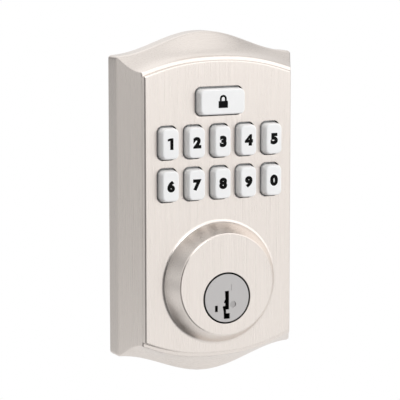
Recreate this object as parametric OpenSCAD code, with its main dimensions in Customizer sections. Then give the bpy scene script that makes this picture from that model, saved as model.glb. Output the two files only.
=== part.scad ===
// Outside half of a keypad deadbolt: a cast cover with eleven push keys over a
// circuit board, and a re-keyable cylinder whose blade drives the bolt through the door.
// X is to the right, Y runs into the door and Z is up. The origin is where the
// cylinder's axis meets the face of the door.

/* [Cover] */
// Width of the cover where it meets the door
body_w = 70.2; // [68:0.2:90]
// Height of the cover between its two crowns
body_h = 125.4; // [124:0.2:155]
// Rise of the wavy top and bottom edges from corner to crown
crown = 8.1; // [4:0.1:10]
// Depth of the cover from the door to its face
body_depth = 19; // [18.5:0.1:24]
// Depth of the straight band next to the door
band_depth = 7; // [5:0.1:8.5]
// Width of the flat face
face_w = 58.2; // [57:0.2:74]
// Height of the flat face along its sides
face_h = 96; // [95:0.2:124]
// Rise of the arch at the top of the face
top_crown = 4.9; // [2:0.1:8]
// Rise of the arch at the bottom of the face
low_crown = 5.9; // [5:0.1:8]
// Width of the small step between the hollow moulding and the face
step_w = 1.3; // [0.6:0.1:1.6]
// Height of that step
step_h = 1.2; // [0.5:0.1:1.6]
// Thickness of the cast walls
wall = 1.8; // [1.5:0.1:2.2]
// Height of the cover's middle above the cylinder's axis
cover_rise = 32.6; // [31.5:0.1:33.8]

/* [Cylinder boss] */
// Radius of the boss's flat front
boss_r = 18.5; // [17.5:0.1:20]
// Radius of the boss where it leaves the face
boss_base_r = 22.2; // [21:0.1:23]
// Height of the boss above the face
boss_h = 6.7; // [5:0.1:8]
// Radius of the hollow curve between the boss and the face
boss_fillet = 1.6; // [1:0.1:3]
// Height of the boss's middle above the cylinder's axis
boss_rise = 4.9; // [3:0.1:6]

/* [Keys] */
// Width of a digit key's window
window_w = 7.9; // [7:0.1:8.4]
// Height of a digit key's window
window_h = 12.5; // [10:0.1:12.8]
// Width of the lock key's window
lock_w = 19.1; // [12:0.1:24]
// Height of the lock key's window
lock_h = 10.6; // [8:0.1:11]
// Distance between the middles of neighbouring digit keys
key_pitch = 10.3; // [9.9:0.1:11]
// Distance between the two rows of digit keys
row_pitch = 15.2; // [14.8:0.1:16]
// Distance from the upper digit row up to the lock key
lock_pitch = 14.3; // [14.1:0.1:16]
// Height of the lower digit row above the cylinder's axis
low_row = 41.4; // [41:0.1:44]
// Height of a key above the face
key_proud = 3.5; // [1.5:0.1:4]
// How far a key's sides lean in between the window and its top
key_lean = 0.8; // [0:0.05:1.2]
// Gap all round between a key and its window
key_gap = 0.5; // [0.2:0.05:0.6]
// How far a key can be pressed
key_travel = 1.2; // [0.5:0.1:1.4]

/* [Key cylinder] */
// Radius of the plug's visible face
plug_face_r = 8.8; // [8.7:0.1:9.4]
// Radius of the plug's barrel
plug_r = 8.2; // [7.9:0.1:8.5]
// Thickness of the barrel wall round the plug
barrel_wall = 2.9; // [2.4:0.1:3]
// Running gap between the plug and its bore
plug_gap = 0.05; // [0.03:0.01:0.08]
// Width of the dark ring round the plug's face
seal_w = 0.6; // [0.3:0.05:0.8]
// Distance between neighbouring pins
pin_pitch = 3.81; // [3.6:0.01:3.9]
// How far a key lifts a pin
pin_travel = 2; // [1:0.1:2.2]
// Reach of the blade behind the face of the door
blade_reach = 55; // [40:1:70]
// Radius of the blade's round side
blade_r = 3; // [2.4:0.1:3.1]

/* [Door side] */
// Radius of the spigot that centres the lock in the door's bore
spigot_r = 26.7; // [26:0.1:26.9]
// How far the spigot reaches into the door
spigot_reach = 4; // [2:0.5:10]
// Distance between the two threaded posts
post_spacing = 36; // [34:0.5:37]
// How far the posts reach into the door
post_reach = 9; // [4:0.5:20]
// Radius of the threaded holes in the posts
post_hole_r = 1.75; // [1.5:0.05:2.1]
// Thickness of the weather seal between the cover and the door
gasket_t = 1.5; // [1:0.1:2.5]

/* [Hidden] */
$fn = 64;
HULL_FN = 24;
EPS = 0.05;
// How far a cutter runs past what it cuts
OVER = 1;

// How finely the cover's mouldings are divided
SIDE_STEPS = 26;
COVE_STEPS = 7;

DIGITS = [1, 2, 3, 4, 5, 6, 7, 8, 9, 0];
COLUMNS = 5;
PINS = 5;

// Height of the cast face's inside
face_in = body_depth - wall;
// Front plane of the boss, measured out from the door
boss_front = body_depth + boss_h;
boss_sunk = 0.5;
// Ledge inside the cover's edge, which presses on the weather seal
ledge_w = 1.3;
ledge_t = 1.4;

// Keys: flange, frame, mat and board, each measured out from the door
key_flange = 0.8;
key_flange_t = 1;
frame_t = key_flange_t + key_travel + 0.8;
frame_gap = 0.05;
mat_t = 1;
board_t = 1.6;
frame_back = face_in - frame_gap - frame_t;
mat_back = frame_back - mat_t;
board_back = mat_back - board_t;
key_flange_front = face_in - 0.15;
key_corner = 2.3;
pocket_gap = 0.2;
pocket_corner = 1.5;
dome_r = 3.2;
dome_top_r = 1.9;
dome_wall = 0.7;
pad_r = 1.9;
pad_t = 0.15;

// Board, frame, mat and rear cover share one outline
board_w = 2 * (2 * key_pitch + window_w / 2 + key_flange + 0.8);
board_low = low_row - window_h / 2 - key_flange - 6.7;
lock_row = low_row + row_pitch + lock_pitch;
board_high = lock_row + lock_h / 2 + key_flange + 1;
rear_cover_out = 4;
rear_floor = 1.4;
rear_wall = 1.2;

// Screws that hold the board stack: one in each corner of it
board_boss_r = 2.7;
board_screw_r = 1.05;
boss_gap = 0.2;
// Room round a screw where it passes through
screw_gap = 0.35;
pilot_gap = 0.05;
pilot_end = face_in - 0.3;
board_screws_at = [
    for (side = [-1, 1], z = [board_low + 3.2, lock_row]) [side * (board_w / 2 - 5), z]
];

// Cylinder: every length is measured out from the door, so less than 0 is in the door
body_front = boss_front - wall - 0.3;
body_back = 1;
plate_back = 10.5;
plate_t = 2.5;
hole_r = plug_face_r + seal_w;
stub_r = 6.5;
plug_back = 2;
stub_back = -5;
recess_r = 5;
recess_floor = -1;
post_r = 4.2;
// Depth of the threaded hole in each post
post_hole_depth = 18;
barrel_r = plug_r + barrel_wall;
// The room in the boss clears the barrel, which stands below the boss's middle
boss_in_r = max(boss_r - wall - 0.4, barrel_r + boss_rise + 0.2);
cylinder_boss_r = 2.6;
cylinder_screw_r = 1.2;
cylinder_screws_at = [[-20, 21.5], [20, 21.5], [-15.5, -8.5], [15.5, -8.5]];
plate_w = 47;
plate_h = 37.6;
plate_mid = 6.3;
web_t = 1.8;
spigot_wall = 1.4;
// Room between the cylinder's body and the ring it drops into
body_gap = 0.3;
guide_r = spigot_r - 0.4;
guide_end = 5.5;
neck_out_r = spigot_r - 2.9;
cable_notch_w = 9;
cable_x = 12;

// Pins stand in one row, and the first is this far behind the plug's face
first_pin = 6.3;
pin_w = 2;
pin_d = 2.1;
pin_low = -0.4;
pin_top = 4;
chamber_gap = 0.1;
chamber_top = pin_top + pin_travel + 0.9;
cover_strip_w = 3.2;
sidebar_h = 1.6;
sidebar_long = [boss_front - 4.2, 3.4];
sidebar_x = [-7.9, -6.1];
finger_end = -1.7;
dimple_r = 1.2;

// Blade hub: its two ears turn between two lugs in the plug
ear_sweep = 48;
lug_sweep = 40;
hub_r = 3.4;
ear_r = 4.8;
lug_r = 3.55;
cap_r = 7.8;
cap_t = 1.2;
cap_skirt = 3;
blade_gap = 0.08;
clip_r = 9.5;
clip_mouth = 6;

// ---- Helpers ----

// A flat shape drawn in X and Z, from one distance out from the door to another
module slab(back, front) {
    translate([0, -back, 0]) rotate([90, 0, 0]) linear_extrude(front - back) children();
}

// A round bar along Y
module rod(r, back, front, x = 0, z = 0) {
    translate([x, -back, z]) rotate([90, 0, 0]) cylinder(r = r, h = front - back);
}

// A rectangle with round corners, drawn about its middle
module round_rect(w, h, r) {
    square([w - 2 * r, h], center = true);
    square([w, h - 2 * r], center = true);
    for (x = [-1, 1], z = [-1, 1])
        translate([x * (w / 2 - r), z * (h / 2 - r)]) circle(r);
}

// A slice of a ring, of a given sweep, about an angle measured from +X
module sector(inner, outer, sweep, at) {
    rotate(at) intersection() {
        difference() {
            circle(outer);
            circle(inner);
        }
        polygon([
            [0, 0],
            for (k = [-2:2]) 2 * outer * [cos(k * sweep / 4), sin(k * sweep / 4)]
        ]);
    }
}

// A coil spring that stands on z = 0, swept as rings of points round a helix
module coil(r, wire_r, height, turns) {
    sides = 6;
    per_turn = 10;
    rings = turns * per_turn;
    climb = (height - 2 * wire_r) / rings;
    points = [
        for (i = [0:rings], s = [0:sides - 1])
            let (a = i * 360 / per_turn, b = s * 360 / sides, out = r + wire_r * cos(b))
            [out * cos(a), out * sin(a), wire_r + i * climb + wire_r * sin(b)]
    ];
    tube = [
        for (i = [0:rings - 1], s = [0:sides - 1])
            let (n = (s + 1) % sides)
            [i * sides + s, i * sides + n, (i + 1) * sides + n, (i + 1) * sides + s]
    ];
    polyhedron(points, [
        [for (s = [sides - 1:-1:0]) s],
        each tube,
        [for (s = [0:sides - 1]) rings * sides + s]
    ]);
}

// ---- Outline of the cover ----

// Half the height of the outline at the door, for u from -1 at one side to 1 at the other
function band_height(u) = body_h / 2 - crown * (1 - cos(180 * u)) / 2;

// Half the height of the face, whose ends are arcs of a circle: end is 1 at the top, -1 below
function arch_r(crown) = (pow(face_w / 2, 2) + pow(crown, 2)) / (2 * crown);
function arch_height(u, crown) =
    face_h / 2 + crown - arch_r(crown) + sqrt(pow(arch_r(crown), 2) - pow(u * face_w / 2, 2));
function face_height(u, end) = arch_height(u, end > 0 ? top_crown : low_crown);

// The hollow moulding ends at the step's foot
cove_end = body_depth - step_h - 0.15;
function cove(out) = sin(90 * min(1, max(0, (out - band_depth) / (cove_end - band_depth))));
function half_height(u, out, end) =
    band_height(u) + (face_height(u, end) + step_w - band_height(u)) * cove(out);
function half_width(out) =
    body_w / 2 - (body_w - face_w) / 2 * max(0, (out - band_depth) / (body_depth - band_depth));

// One loop of points round the cover, set in by a wall and at a distance out from the door
function loop_at(out, inset, trim = 0) = [
    for (end = [1, -1], k = [0:SIDE_STEPS])
        let (u = end * (2 * k / SIDE_STEPS - 1))
        [
            (half_width(out) - inset) * u,
            -out,
            cover_rise + end * (half_height(u, out, end) - inset - trim)
        ]
];

// The same loop as a flat outline
function outline(inset) = [for (p = loop_at(0, inset)) [p[0], p[2]]];

// A solid skinned over loops of points, given from the back to the front. The two ends
// are closed in strips from the top edge down to the bottom one
module skin(loops) {
    n = len(loops[0]);
    last = len(loops) - 1;
    polyhedron(
        [for (l = loops) each l],
        [
            for (k = [0:SIDE_STEPS - 1]) [k, n - 1 - k, n - 2 - k, k + 1],
            for (i = [0:last - 1], k = [0:n - 1])
                let (m = (k + 1) % n)
                [i * n + k, i * n + m, (i + 1) * n + m, (i + 1) * n + k],
            for (k = [0:SIDE_STEPS - 1])
                let (f = last * n)
                [f + k, f + k + 1, f + n - 2 - k, f + n - 1 - k]
        ]
    );
}

cove_outs = [
    for (k = [0:COVE_STEPS]) band_depth + (cove_end - band_depth) * k / COVE_STEPS
];

// The outside of the cover
module cover_outside() {
    skin([
        loop_at(0, 0),
        for (out = cove_outs) loop_at(out, 0),
        loop_at(cove_end + 0.15, 0, step_w),
        loop_at(body_depth, 0, step_w)
    ]);
}

// The boss as a body of revolution on the face: a cone whose foot runs out in a hollow curve
lean_angle = atan((boss_base_r - boss_r) / boss_h);
fillet_reach = boss_fillet * tan(45 - lean_angle / 2);
fillet_out_r = boss_base_r + fillet_reach;
module boss_outside() {
    touch_r = fillet_out_r - boss_fillet * cos(lean_angle);
    touch_h = boss_fillet - boss_fillet * sin(lean_angle);
    rotate_extrude() difference() {
        polygon([
            [0, -boss_sunk], [fillet_out_r, -boss_sunk], [fillet_out_r, 0],
            [touch_r, touch_h], [boss_r, boss_h], [0, boss_h]
        ]);
        translate([fillet_out_r, boss_fillet]) circle(boss_fillet);
    }
}

// The room inside it, open towards the door
module cover_inside() {
    skin([
        [for (p = loop_at(0, wall)) [p[0], 1, p[2]]],
        for (out = cove_outs) if (out < face_in - 1) loop_at(out, wall),
        loop_at(face_in, wall, step_w)
    ]);
}

// ---- Cover and what seals it to the door ----

module at_digit_keys() {
    for (i = [0:9]) translate(digit_place(i)) children();
}

function digit_place(i) = [
    (i % COLUMNS - (COLUMNS - 1) / 2) * key_pitch,
    low_row + (i < COLUMNS ? row_pitch : 0)
];

module windows(grow, corner) {
    at_digit_keys() round_rect(window_w + 2 * grow, window_h + 2 * grow, corner);
    translate([0, lock_row]) round_rect(lock_w + 2 * grow, lock_h + 2 * grow, corner);
}

module at_points(points) {
    for (p = points) translate(p) children();
}

module escutcheon() {
    color([0.8, 0.77, 0.74]) difference() {
        union() {
            difference() {
                cover_outside();
                cover_inside();
            }
            slab(gasket_t, gasket_t + ledge_t) difference() {
                polygon(outline(wall / 2));
                polygon(outline(wall + ledge_w));
            }
            translate([0, -body_depth, boss_rise]) rotate([90, 0, 0]) boss_outside();
            slab(mat_back, face_in + EPS) at_points(board_screws_at) circle(board_boss_r);
            slab(plate_back + plate_t + EPS, face_in + EPS)
                at_points(cylinder_screws_at) circle(cylinder_boss_r);
        }
        slab(face_in - OVER, body_depth + OVER) windows(0, key_corner);
        rod(boss_in_r, face_in - OVER, boss_front - wall, z = boss_rise);
        rod(hole_r, boss_front - wall - OVER, boss_front + OVER);
        slab(mat_back - OVER, pilot_end) at_points(board_screws_at) circle(board_screw_r + pilot_gap);
        slab(plate_back + plate_t - OVER, pilot_end)
            at_points(cylinder_screws_at) circle(cylinder_screw_r + pilot_gap);
    }
}

module door_gasket() {
    color([0.07, 0.07, 0.07]) slab(0, gasket_t) difference() {
        polygon(outline(wall + EPS));
        polygon(outline(wall + ledge_w));
    }
}

// ---- Keypad ----

module board_outline() {
    translate([0, (board_low + board_high) / 2])
        round_rect(board_w, board_high - board_low, 2);
}

module keypad_frame() {
    color([0.1, 0.1, 0.11]) slab(frame_back, face_in - frame_gap) difference() {
        board_outline();
        windows(key_flange + pocket_gap - key_gap, pocket_corner);
        at_points(board_screws_at) circle(board_boss_r + boss_gap);
    }
}

// A key: a flange behind the face, and a cap that leans in to its top
module key_cap(w, h) {
    neck_w = w - 2 * key_gap;
    neck_h = h - 2 * key_gap;
    top = body_depth + key_proud;
    slab(key_flange_front - key_flange_t, key_flange_front)
        round_rect(neck_w + 2 * key_flange, neck_h + 2 * key_flange, pocket_corner - pocket_gap);
    hull() {
        slab(key_flange_front - EPS, body_depth + 0.4)
            round_rect(neck_w, neck_h, key_corner - key_gap, $fn = HULL_FN);
        slab(body_depth + 1, top - 0.7) round_rect(
            neck_w - 1.6 * key_lean, neck_h - 1.6 * key_lean, key_corner - key_gap, $fn = HULL_FN
        );
        slab(top - 0.25, top) round_rect(
            neck_w - 2 * key_lean - 0.7, neck_h - 2 * key_lean - 0.7, 1.6, $fn = HULL_FN
        );
    }
}

module digit_key(i) {
    p = digit_place(i);
    color([0.93, 0.94, 0.95]) translate([p[0], 0, p[1]]) key_cap(window_w, window_h);
}

module key_lock() {
    color([0.93, 0.94, 0.95]) translate([0, 0, lock_row]) key_cap(lock_w, lock_h);
}

led_places = [
    for (x = [-1.5:1.5], z = [low_row + row_pitch / 2, low_row + row_pitch + window_h / 2 + 1.3])
        [x * key_pitch, z]
];

module dome_mat() {
    dome_front = key_flange_front - key_flange_t - 0.1;
    color([0.75, 0.78, 0.8]) difference() {
        union() {
            slab(mat_back, frame_back) board_outline();
            at_key_middles(frame_back) cylinder(r1 = dome_r, r2 = dome_top_r, h = dome_front - frame_back);
        }
        at_key_middles(mat_back - OVER) cylinder(r = dome_r - dome_wall, h = OVER + mat_t + 0.5);
        slab(mat_back - OVER, frame_back + OVER) {
            at_points(board_screws_at) circle(board_boss_r + boss_gap);
            at_points(led_places) square([2.2, 1.4], center = true);
        }
    }
}

// Copies of a child at the middle of each key, its Z pointing out of the door
module at_key_middles(out) {
    for (i = [0:10]) {
        p = i < 10 ? digit_place(i) : [0, lock_row];
        translate([p[0], -out, p[1]]) rotate([90, 0, 0]) children();
    }
}

module circuit_board() {
    color([0.05, 0.3, 0.15]) slab(board_back, mat_back) difference() {
        board_outline();
        at_points(board_screws_at) circle(board_screw_r + screw_gap);
    }
}

module contact_pads() {
    color([0.8, 0.62, 0.25]) at_key_middles(mat_back) cylinder(r = pad_r, h = pad_t);
}

module backlight_leds() {
    color([0.95, 0.93, 0.8]) slab(mat_back, mat_back + 0.8)
        at_points(led_places) square([1.6, 0.8], center = true);
}

module controller_chip() {
    color([0.08, 0.08, 0.08]) slab(board_back - 1.2, board_back)
        translate([-8, low_row + row_pitch]) square([9, 9], center = true);
}

// Small parts soldered to the back of the board
module board_parts() {
    color([0.55, 0.45, 0.35]) slab(board_back - 0.8, board_back)
        for (k = [0:5]) translate([4 + 2.6 * k, low_row + row_pitch - 4]) square([1.2, 2], center = true);
}

socket_w = 11;
socket_h = 6;
socket_t = 4.5;
socket_wall = 0.8;

module cable_socket() {
    low = board_low + rear_wall + 0.4;
    color([0.93, 0.9, 0.8]) difference() {
        slab(board_back - socket_t, board_back)
            translate([cable_x - socket_w / 2, low]) square([socket_w, socket_h]);
        slab(board_back - socket_t + socket_wall, board_back - socket_wall)
            translate([cable_x - socket_w / 2 + socket_wall, low - OVER])
            square([socket_w - 2 * socket_wall, OVER + socket_h - 2 * socket_wall]);
    }
}

grommet_w = cable_notch_w;
grommet_t = socket_t + 0.4;
grommet_wall = 1.1;

module rear_cover() {
    color([0.09, 0.09, 0.1]) difference() {
        slab(rear_cover_out, board_back) board_outline();
        difference() {
            slab(rear_cover_out + rear_floor, board_back + OVER)
                translate([0, (board_low + board_high) / 2])
                round_rect(board_w - 2 * rear_wall, board_high - board_low - 2 * rear_wall, 1);
            slab(rear_cover_out, board_back + 2 * OVER) at_points(board_screws_at) circle(board_boss_r);
        }
        slab(rear_cover_out - OVER, board_back + OVER)
            at_points(board_screws_at) circle(board_screw_r + screw_gap);
        slab(rear_cover_out - OVER, rear_cover_out + 1) at_points(board_screws_at) circle(2.4);
        slab(board_back - grommet_t, board_back + OVER)
            translate([cable_x - grommet_w / 2, board_low - OVER])
            square([grommet_w, rear_wall + 2 * OVER]);
    }
}

module cable_grommet() {
    color([0.06, 0.06, 0.06]) difference() {
        slab(board_back - grommet_t + EPS, board_back)
            translate([cable_x - grommet_w / 2 + EPS, board_low])
            square([grommet_w - 2 * EPS, rear_wall]);
        slab(board_back - grommet_t + grommet_wall, board_back - grommet_wall)
            translate([cable_x - grommet_w / 2 + grommet_wall, board_low - OVER])
            square([grommet_w - 2 * grommet_wall, rear_wall + 2 * OVER]);
    }
}

// A pan-head screw that points out of the door, with a cross recess in its head
module screw(r, back, front, head_r, head_t, x, z) {
    difference() {
        union() {
            rod(r, back, front, x, z);
            rod(head_r, back, back + head_t, x, z);
        }
        for (turn = [0, 90]) translate([x, -back, z]) rotate([0, turn, 0])
            cube([head_r * 1.2, head_t, 0.5], center = true);
    }
}

module board_screws() {
    color([0.75, 0.75, 0.75]) for (p = board_screws_at)
        screw(board_screw_r, rear_cover_out - 0.2, face_in - 0.4, 2.1, 1.2, p[0], p[1]);
}

// ---- Key cylinder ----

// The cylinder's plate and the ring's web share one outline
module plate_outline() {
    translate([0, plate_mid]) round_rect(plate_w, plate_h, 3);
}

module cylinder_body() {
    color([0.72, 0.62, 0.35]) difference() {
        union() {
            rod(barrel_r, body_back, body_front);
            slab(plate_back, plate_back + plate_t) plate_outline();
            for (side = [-1, 1])
                rod(post_r, -post_reach, plate_back + plate_t, side * post_spacing / 2);
        }
        rod(plug_r + plug_gap, body_back - OVER, body_front + OVER);
        translate([-plug_r - 0.9, -sidebar_long[0], -sidebar_h / 2 - 0.1])
            cube([1.4, sidebar_long[0] - sidebar_long[1], sidebar_h + 0.2]);
        for (side = [-1, 1])
            rod(post_hole_r, -post_reach - OVER, post_hole_depth - post_reach, side * post_spacing / 2);
        slab(plate_back - OVER, plate_back + plate_t + OVER)
            at_points(cylinder_screws_at) circle(cylinder_screw_r + screw_gap);
    }
}

module cylinder_screws() {
    color([0.75, 0.75, 0.75]) for (p = cylinder_screws_at)
        screw(cylinder_screw_r, plate_back - web_t - 1.4, face_in - 0.5, 2.2, 1.4, p[0], p[1]);
}

module bore_ring() {
    color([0.12, 0.12, 0.13]) difference() {
        union() {
            rod(spigot_r, -spigot_reach, 0);
            rod(guide_r, -spigot_reach, guide_end);
            rod(neck_out_r, guide_end - 1, plate_back);
            slab(plate_back - web_t, plate_back) plate_outline();
        }
        rod(spigot_r - spigot_wall, -spigot_reach - OVER, guide_end - spigot_wall);
        rod(neck_out_r - spigot_wall, 0, plate_back - web_t);
        rod(barrel_r + body_gap, plate_back - web_t - OVER, plate_back + OVER);
        for (side = [-1, 1])
            rod(post_r + body_gap, plate_back - web_t - OVER, plate_back + OVER, side * post_spacing / 2);
        slab(plate_back - web_t - OVER, plate_back + OVER)
            at_points(cylinder_screws_at) circle(cylinder_screw_r + screw_gap);
        slab(-spigot_reach - OVER, guide_end + EPS)
            translate([cable_x - cable_notch_w / 2, neck_out_r - 5]) square([cable_notch_w, spigot_r]);
    }
}

module plug_seal() {
    color([0.03, 0.03, 0.03]) difference() {
        union() {
            rod(hole_r + 1, body_front, boss_front - wall);
            rod(hole_r, body_front, boss_front - 0.35);
        }
        rod(plug_face_r + plug_gap, body_front - OVER, boss_front);
    }
}

// The keyway as it shows on the face: a slot with one ward from each side
module keyway() {
    polygon([
        [-0.8, 2.6], [0.75, 2.6], [0.75, -4.2], [-0.4, -4.2], [-0.4, -5.6], [1.1, -5.6],
        [1.1, -7.6], [-1.2, -7.6], [-1.35, -4.6], [-1.7, -3.2], [-1.6, -2.9], [-0.7, -2.8],
        [-0.7, -1.9], [-1.25, -1.6], [-0.65, -0.3]
    ]);
}

pin_ys = [for (k = [0:PINS - 1]) boss_front - first_pin - k * pin_pitch];

module plug() {
    color([0.72, 0.73, 0.74]) difference() {
        union() {
            rod(plug_face_r, body_front + 0.1, boss_front);
            rod(plug_r, plug_back, body_front + 0.2);
            rod(stub_r, stub_back, plug_back + 1);
        }
        slab(plug_back + 0.6, boss_front + OVER) keyway();
        for (out = pin_ys) {
            slab(out - pin_d / 2 - chamber_gap, out + pin_d / 2 + chamber_gap)
                translate([-pin_w / 2 - chamber_gap, pin_low - chamber_gap])
                square([pin_w + 2 * chamber_gap, chamber_top - pin_low + chamber_gap]);
            slab(out - 0.6, out + 0.6) translate([sidebar_x[0], -0.7]) square([-sidebar_x[0], 1.4]);
        }
        slab(pin_ys[PINS - 1] - pin_d / 2 - 0.4, pin_ys[0] + pin_d / 2 + 0.4)
            translate([-cover_strip_w / 2, chamber_top]) square([cover_strip_w, plug_r]);
        slab(sidebar_long[1], sidebar_long[0])
            translate([-plug_r - 1, -sidebar_h / 2]) square([plug_r + 1 + sidebar_x[1] + 0.9, sidebar_h]);
        slab(boss_front - 5, boss_front + OVER)
            translate([-4.25, -3.65]) square([1.05, 2.3], center = true);
        rod(dimple_r, boss_front - 0.3, boss_front + OVER, 2.4, -2.5);
        slab(boss_front - 0.1, boss_front + OVER) translate([1.6, 3.8]) square([0.4, 2.4], center = true);
        difference() {
            rod(recess_r, stub_back - OVER, recess_floor);
            slab(stub_back, recess_floor + OVER)
                for (at = [0, 180]) sector(lug_r, recess_r + OVER, lug_sweep, at);
        }
        difference() {
            rod(stub_r + 1, body_back - 0.9, body_back - 0.05);
            rod(stub_r - 0.5, body_back - 2, body_back + 1);
        }
    }
}

module plug_clip() {
    color([0.6, 0.6, 0.62]) slab(body_back - 0.85, body_back - 0.1) difference() {
        circle(clip_r);
        circle(stub_r - 0.45);
        translate([-clip_mouth / 2, -barrel_r]) square([clip_mouth, barrel_r]);
    }
}

module spring_cover() {
    color([0.75, 0.65, 0.35]) intersection() {
        slab(pin_ys[PINS - 1] - pin_d / 2 - 0.35, pin_ys[0] + pin_d / 2 + 0.35)
            translate([-cover_strip_w / 2 + EPS, chamber_top]) square([cover_strip_w - 2 * EPS, 3]);
        rod(plug_r - 0.02, 0, boss_front);
    }
}

// The bar that locks the plug, with one finger to each pin
module sidebar() {
    color([0.7, 0.6, 0.3]) union() {
        slab(sidebar_long[1] + 0.2, sidebar_long[0] - 0.2)
            translate([sidebar_x[0], -sidebar_h / 2 + EPS])
            square([sidebar_x[1] - sidebar_x[0], sidebar_h - 2 * EPS]);
        for (out = pin_ys) slab(out - 0.5, out + 0.5)
            translate([sidebar_x[1] - EPS, -0.6]) square([finger_end - sidebar_x[1] + EPS, 1.2]);
    }
}

module sidebar_springs() {
    color([0.8, 0.8, 0.8])
        for (out = [pin_ys[1] + pin_pitch / 2, pin_ys[PINS - 1] + pin_pitch / 2])
            translate([sidebar_x[1] + 0.9, -out, 0]) rotate([0, -90, 0]) coil(0.45, 0.12, 0.88, 3);
}

module pin_springs() {
    color([0.8, 0.8, 0.8]) for (out = pin_ys)
        translate([0, -out, pin_top + 0.01]) coil(0.7, 0.14, chamber_top - pin_top - 0.02, 5);
}

module key_pin(i) {
    color([0.85, 0.75, 0.45]) slab(pin_ys[i] - pin_d / 2, pin_ys[i] + pin_d / 2) polygon([
        [-0.35, pin_low], [0.35, pin_low], [0.65, pin_low + 0.5], [0.65, 0.3],
        [pin_w / 2, 0.7], [pin_w / 2, pin_top], [-pin_w / 2, pin_top], [-pin_w / 2, 0.7],
        [-0.45, 0.3], [-0.45, pin_low + 0.5]
    ]);
}

// ---- Blade to the bolt ----

module tailpiece() {
    flat = 0.35 * blade_r;
    color([0.6, 0.6, 0.62]) union() {
        slab(stub_back + 0.1, recess_floor - 0.1) {
            circle(hub_r);
            for (at = [90, 270]) sector(hub_r - 0.5, ear_r, ear_sweep, at);
        }
        slab(-blade_reach, stub_back + 0.2) difference() {
            circle(blade_r);
            translate([flat, -2 * blade_r]) square(4 * blade_r);
        }
    }
}

module tailpiece_cap() {
    color([0.65, 0.65, 0.67]) difference() {
        rod(cap_r, stub_back - cap_t, stub_back + cap_skirt);
        rod(stub_r + 0.02, stub_back, stub_back + cap_skirt + OVER);
        rod(blade_r + blade_gap, stub_back - cap_t - OVER, stub_back + OVER);
        for (turn = [0:30:330]) rotate([0, turn, 0])
            rod(0.5, stub_back - cap_t - OVER, stub_back + cap_skirt + OVER, cap_r + 0.1);
    }
}

escutcheon();
door_gasket();
keypad_frame();
dome_mat();
circuit_board();
contact_pads();
backlight_leds();
controller_chip();
board_parts();
cable_socket();
rear_cover();
cable_grommet();
board_screws();
cylinder_body();
cylinder_screws();
bore_ring();
plug_seal();
key_lock();
for (i = [0:9]) digit_key(i);
plug();
plug_clip();
spring_cover();
sidebar();
sidebar_springs();
pin_springs();
for (i = [0:PINS - 1]) key_pin(i);
tailpiece();
tailpiece_cap();
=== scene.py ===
import math

import bpy
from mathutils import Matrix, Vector


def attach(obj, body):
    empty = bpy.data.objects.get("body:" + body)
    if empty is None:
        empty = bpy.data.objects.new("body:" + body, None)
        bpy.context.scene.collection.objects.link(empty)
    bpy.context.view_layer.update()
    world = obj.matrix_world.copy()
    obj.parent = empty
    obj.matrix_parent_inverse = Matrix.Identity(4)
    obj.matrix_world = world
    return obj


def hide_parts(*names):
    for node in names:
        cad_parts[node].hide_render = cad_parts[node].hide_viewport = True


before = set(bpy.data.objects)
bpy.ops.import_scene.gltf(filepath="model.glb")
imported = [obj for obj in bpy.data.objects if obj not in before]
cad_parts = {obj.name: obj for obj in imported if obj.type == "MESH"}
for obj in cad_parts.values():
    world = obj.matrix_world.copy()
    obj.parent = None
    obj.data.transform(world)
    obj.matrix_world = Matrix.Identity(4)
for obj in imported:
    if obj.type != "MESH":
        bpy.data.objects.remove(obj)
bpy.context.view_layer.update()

# Millimetres to metres. Lengths below are in millimetres, as on a drawing, and "out" is how
# far a thing stands out from the face of the door, towards the person with the key.
MM = 0.001

# Cover
BODY_W, BODY_H = 70.2, 125.4
CROWN = 8.1
BODY_DEPTH, BAND_DEPTH = 19.0, 7.0
FACE_W, FACE_H = 58.2, 96.0
TOP_CROWN, LOW_CROWN = 4.9, 5.9
STEP_W, STEP_H = 1.3, 1.2
WALL = 1.8
FACE_IN = BODY_DEPTH - WALL
COVER_RISE = 32.6
WAVE_CORNER = BODY_H / 2 - CROWN
# Where an outline's handles lie, as a share of half its width
WAVE_HANDLE = 0.3634

# Levels of the cover's outlines, out from the door
REAR_EDGE, REAR_EDGE_IN = 0.3, 0.25
STEP_FLOOR = BODY_DEPTH - STEP_H
COVE_END = STEP_FLOOR - 0.15
COVE_STEPS = 9
COVE_LEVELS = [
    BAND_DEPTH + (COVE_END - BAND_DEPTH) * k / COVE_STEPS for k in range(COVE_STEPS + 1)
]
FACE_RIM = BODY_DEPTH - 0.02
FACE_MARGIN = 0.6
# The remade cover's wall is this much thinner than WALL at its sides
WALL_TRIM = 0.15

# The widest bevel on the cover, and each kind of edge's share of it
EDGE_ROUND = 1.1
WALL_CORNER, MITRE = 1.0, 0.3
EDGE_SHARES = [(BAND_DEPTH, 0.75), (COVE_END, 0.16), (STEP_FLOOR, 0.12), (FACE_RIM, 0.42)]
CORNER_SLACK = 0.3
LEVEL_SLACK = 0.01

# Boss round the key plug
BOSS_R, BOSS_BASE_R, BOSS_H, BOSS_RISE = 18.5, 22.2, 6.7, 4.9
BOSS_FILLET, FILLET_STEPS = 1.6, 8
BOSS_FRONT = BODY_DEPTH + BOSS_H
BOSS_ROOM_R = 16.3
BOSS_SIDES = 160
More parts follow.
